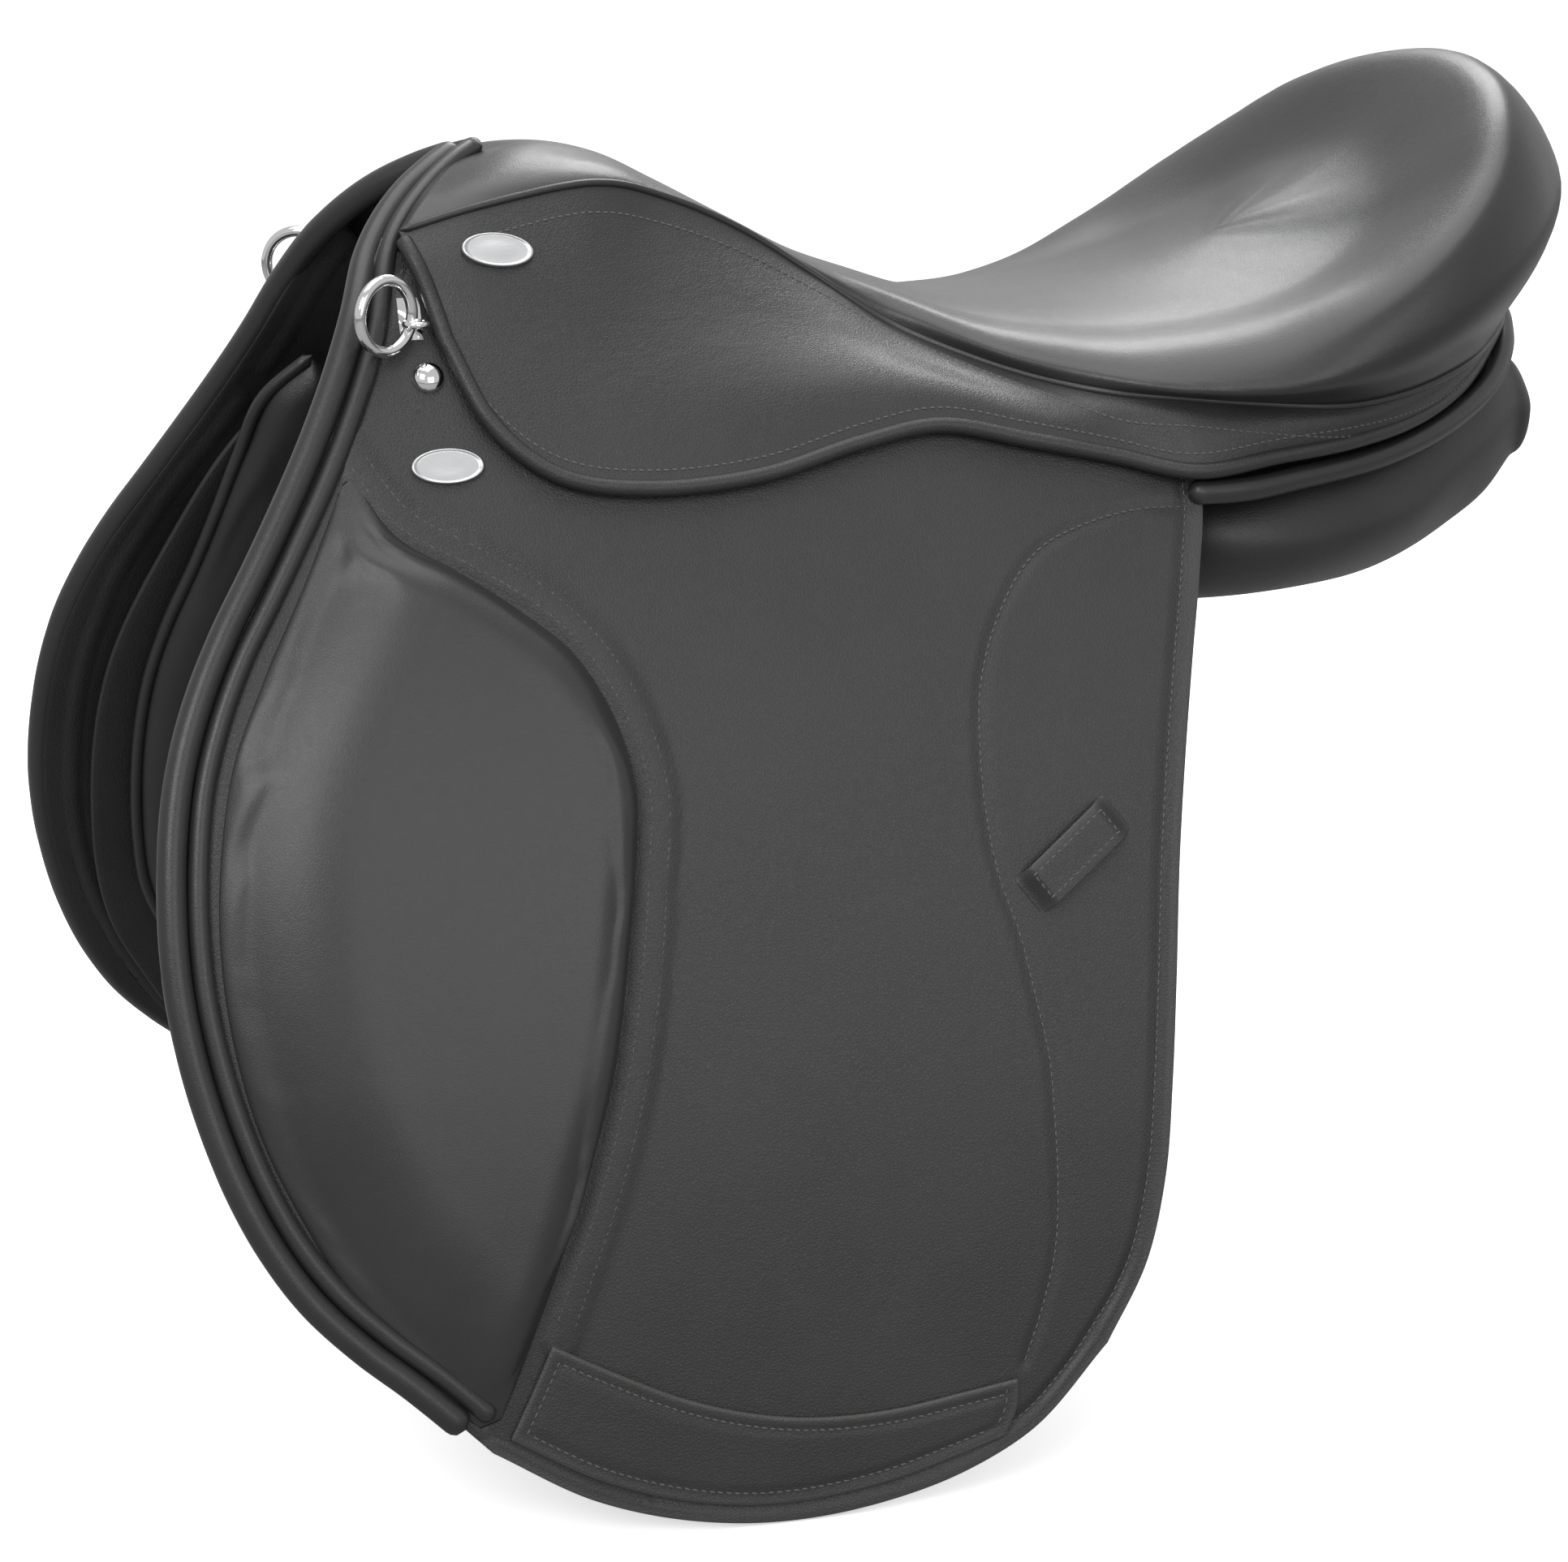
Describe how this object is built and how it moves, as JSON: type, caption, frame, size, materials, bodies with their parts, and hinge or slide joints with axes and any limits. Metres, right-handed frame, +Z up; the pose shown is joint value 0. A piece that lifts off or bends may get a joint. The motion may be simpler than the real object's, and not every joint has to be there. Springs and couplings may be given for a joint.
{
  "type": "english saddle",
  "caption": "English saddle: padded seat, pommel and cantle, hanging flaps with knee blocks, skirts over stirrup bars, billets and two stuffed panels with a channel between.",
  "frame": {"origin": "middle of the bearing surface where the two panels rest, halfway between the sides", "axes": "+X towards the cantle, +Z up, near (left) side at -Y"},
  "size_m": [0.585, 0.4368, 0.485],
  "materials": {
    "black_leather": "fine grain, satin",
    "seat_leather": "smooth soft leather, satin",
    "knee_leather": "soft padded leather, satin",
    "panel_leather": "soft lining leather, matt",
    "strap_leather": "stout strap leather, satin",
    "lining_leather": "matt",
    "foam": "open foam",
    "webbing": "woven",
    "tree_shell": "moulded, matt",
    "steel": "plain steel",
    "forged_steel": "forged, satin",
    "chrome_trim": "polished",
    "plate_metal": "satin"
  },
  "bodies": {
    "saddle": {"seat_cover": "seat_leather", "seat_foam": "foam", "seat_webbing": "webbing", "tree": "tree_shell", "cantle_plate": "steel", "tree_spring_left": "steel", "tree_spring_right": "steel", "tree_head": "tree_shell", "gullet_plate": "steel", "jockey_left": "black_leather", "jockey_right": "black_leather", "flap_upper_left": "black_leather", "flap_upper_right": "black_leather", "pommel_roll": "seat_leather", "stirrup_bar_left": "forged_steel", "stirrup_bar_right": "forged_steel", "bar_rivets": "steel", "stud_left": "chrome_trim", "stud_right": "chrome_trim", "oval_plates_left": "plate_metal", "oval_plates_right": "plate_metal", "dee_staple_left": "chrome_trim", "dee_staple_right": "chrome_trim", "sweat_flap_left": "panel_leather", "sweat_flap_right": "panel_leather", "panel_flap_left": "panel_leather", "panel_flap_right": "panel_leather", "panel_cushion_left": "panel_leather", "panel_cushion_right": "panel_leather", "panel_binding": "seat_leather", "gullet_lining": "lining_leather", "billet_web": "webbing"},
    "flap_left": {"flap_left": "black_leather", "front_rolls_left": "black_leather", "knee_block_left": "knee_leather", "bottom_patch_left": "black_leather", "keeper_left": "black_leather"},
    "skirt_left": {"skirt_left": "black_leather", "skirt_roll_left": "black_leather"},
    "bar_catch_left": {"bar_catch_left": "forged_steel"},
    "dee_ring_left": {"dee_ring_left": "chrome_trim"},
    "billet_front_left": {"billet_front_left": "strap_leather"},
    "billet_middle_left": {"billet_middle_left": "strap_leather"},
    "billet_rear_left": {"billet_rear_left": "strap_leather"},
    "buckle_guard_left": {"buckle_guard_left": "strap_leather"},
    "flap_right": {"flap_right": "black_leather", "front_rolls_right": "black_leather", "knee_block_right": "knee_leather", "bottom_patch_right": "black_leather", "keeper_right": "black_leather"},
    "skirt_right": {"skirt_right": "black_leather", "skirt_roll_right": "black_leather"},
    "bar_catch_right": {"bar_catch_right": "forged_steel"},
    "dee_ring_right": {"dee_ring_right": "chrome_trim"},
    "billet_front_right": {"billet_front_right": "strap_leather"},
    "billet_middle_right": {"billet_middle_right": "strap_leather"},
    "billet_rear_right": {"billet_rear_right": "strap_leather"},
    "buckle_guard_right": {"buckle_guard_right": "strap_leather"}
  },
  "joints": [
    {"name": "flap_fold_left", "type": "hinge", "parent": "saddle", "child": "flap_left", "pos_m": [0, -0.1107, 0.042], "axis": [-0.9951, 0.0993, 0], "range_deg": [0, 75]},
    {"name": "flap_fold_right", "type": "hinge", "parent": "saddle", "child": "flap_right", "pos_m": [0, 0.1107, 0.042], "axis": [0.9951, 0.0993, 0], "range_deg": [0, 75]},
    {"name": "skirt_fold_left", "type": "hinge", "parent": "saddle", "child": "skirt_left", "pos_m": [-0.064, -0.0827, 0.092], "axis": [-0.9294, 0.25, 0.2715], "range_deg": [0, 60]},
    {"name": "skirt_fold_right", "type": "hinge", "parent": "saddle", "child": "skirt_right", "pos_m": [-0.064, 0.0827, 0.092], "axis": [0.9294, 0.25, -0.2715], "range_deg": [0, 60]},
    {"name": "catch_pivot_left", "type": "hinge", "parent": "saddle", "child": "bar_catch_left", "pos_m": [-0.06043, -0.07861, 0.08215], "axis": [-0.0863, -0.865, 0.4943], "range_deg": [0, 90]},
    {"name": "catch_pivot_right", "type": "hinge", "parent": "saddle", "child": "bar_catch_right", "pos_m": [-0.06043, 0.07861, 0.08215], "axis": [0.0863, -0.865, -0.4943], "range_deg": [0, 90]},
    {"name": "ring_swing_left", "type": "hinge", "parent": "saddle", "child": "dee_ring_left", "pos_m": [-0.161, -0.0647, 0.111], "axis": [0, 0, 1], "range_deg": [0, 60]},
    {"name": "ring_swing_right", "type": "hinge", "parent": "saddle", "child": "dee_ring_right", "pos_m": [-0.161, 0.0647, 0.111], "axis": [0, 0, -1], "range_deg": [0, 60]},
    {"name": "billet_front_swing_left", "type": "hinge", "parent": "saddle", "child": "billet_front_left", "pos_m": [-0.014, -0.09258, 0.048], "axis": [-0.0881, -0.883, 0.4611], "range_deg": [-5, 5]},
    {"name": "billet_front_swing_right", "type": "hinge", "parent": "saddle", "child": "billet_front_right", "pos_m": [-0.014, 0.09258, 0.048], "axis": [0.0881, -0.883, -0.4611], "range_deg": [-5, 5]},
    {"name": "billet_middle_swing_left", "type": "hinge", "parent": "saddle", "child": "billet_middle_left", "pos_m": [0.028, -0.09677, 0.048], "axis": [-0.0881, -0.883, 0.4611], "range_deg": [-5, 5]},
    {"name": "billet_middle_swing_right", "type": "hinge", "parent": "saddle", "child": "billet_middle_right", "pos_m": [0.028, 0.09677, 0.048], "axis": [0.0881, -0.883, -0.4611], "range_deg": [-5, 5]},
    {"name": "billet_rear_swing_left", "type": "hinge", "parent": "saddle", "child": "billet_rear_left", "pos_m": [0.07, -0.10097, 0.048], "axis": [-0.0881, -0.883, 0.4611], "range_deg": [-5, 5]},
    {"name": "billet_rear_swing_right", "type": "hinge", "parent": "saddle", "child": "billet_rear_right", "pos_m": [0.07, 0.10097, 0.048], "axis": [0.0881, -0.883, -0.4611], "range_deg": [-5, 5]},
    {"name": "guard_slide_left", "type": "hinge", "parent": "billet_middle_left", "child": "buckle_guard_left", "pos_m": [0.09593, 0.8504, -0.45227], "axis": [-0.9951, 0.0993, 0], "range_deg": [0, 3.2]},
    {"name": "guard_slide_right", "type": "hinge", "parent": "billet_middle_right", "child": "buckle_guard_right", "pos_m": [0.09593, -0.8504, -0.45227], "axis": [0.9951, 0.0993, 0], "range_deg": [0, 3.2]}
  ]
}
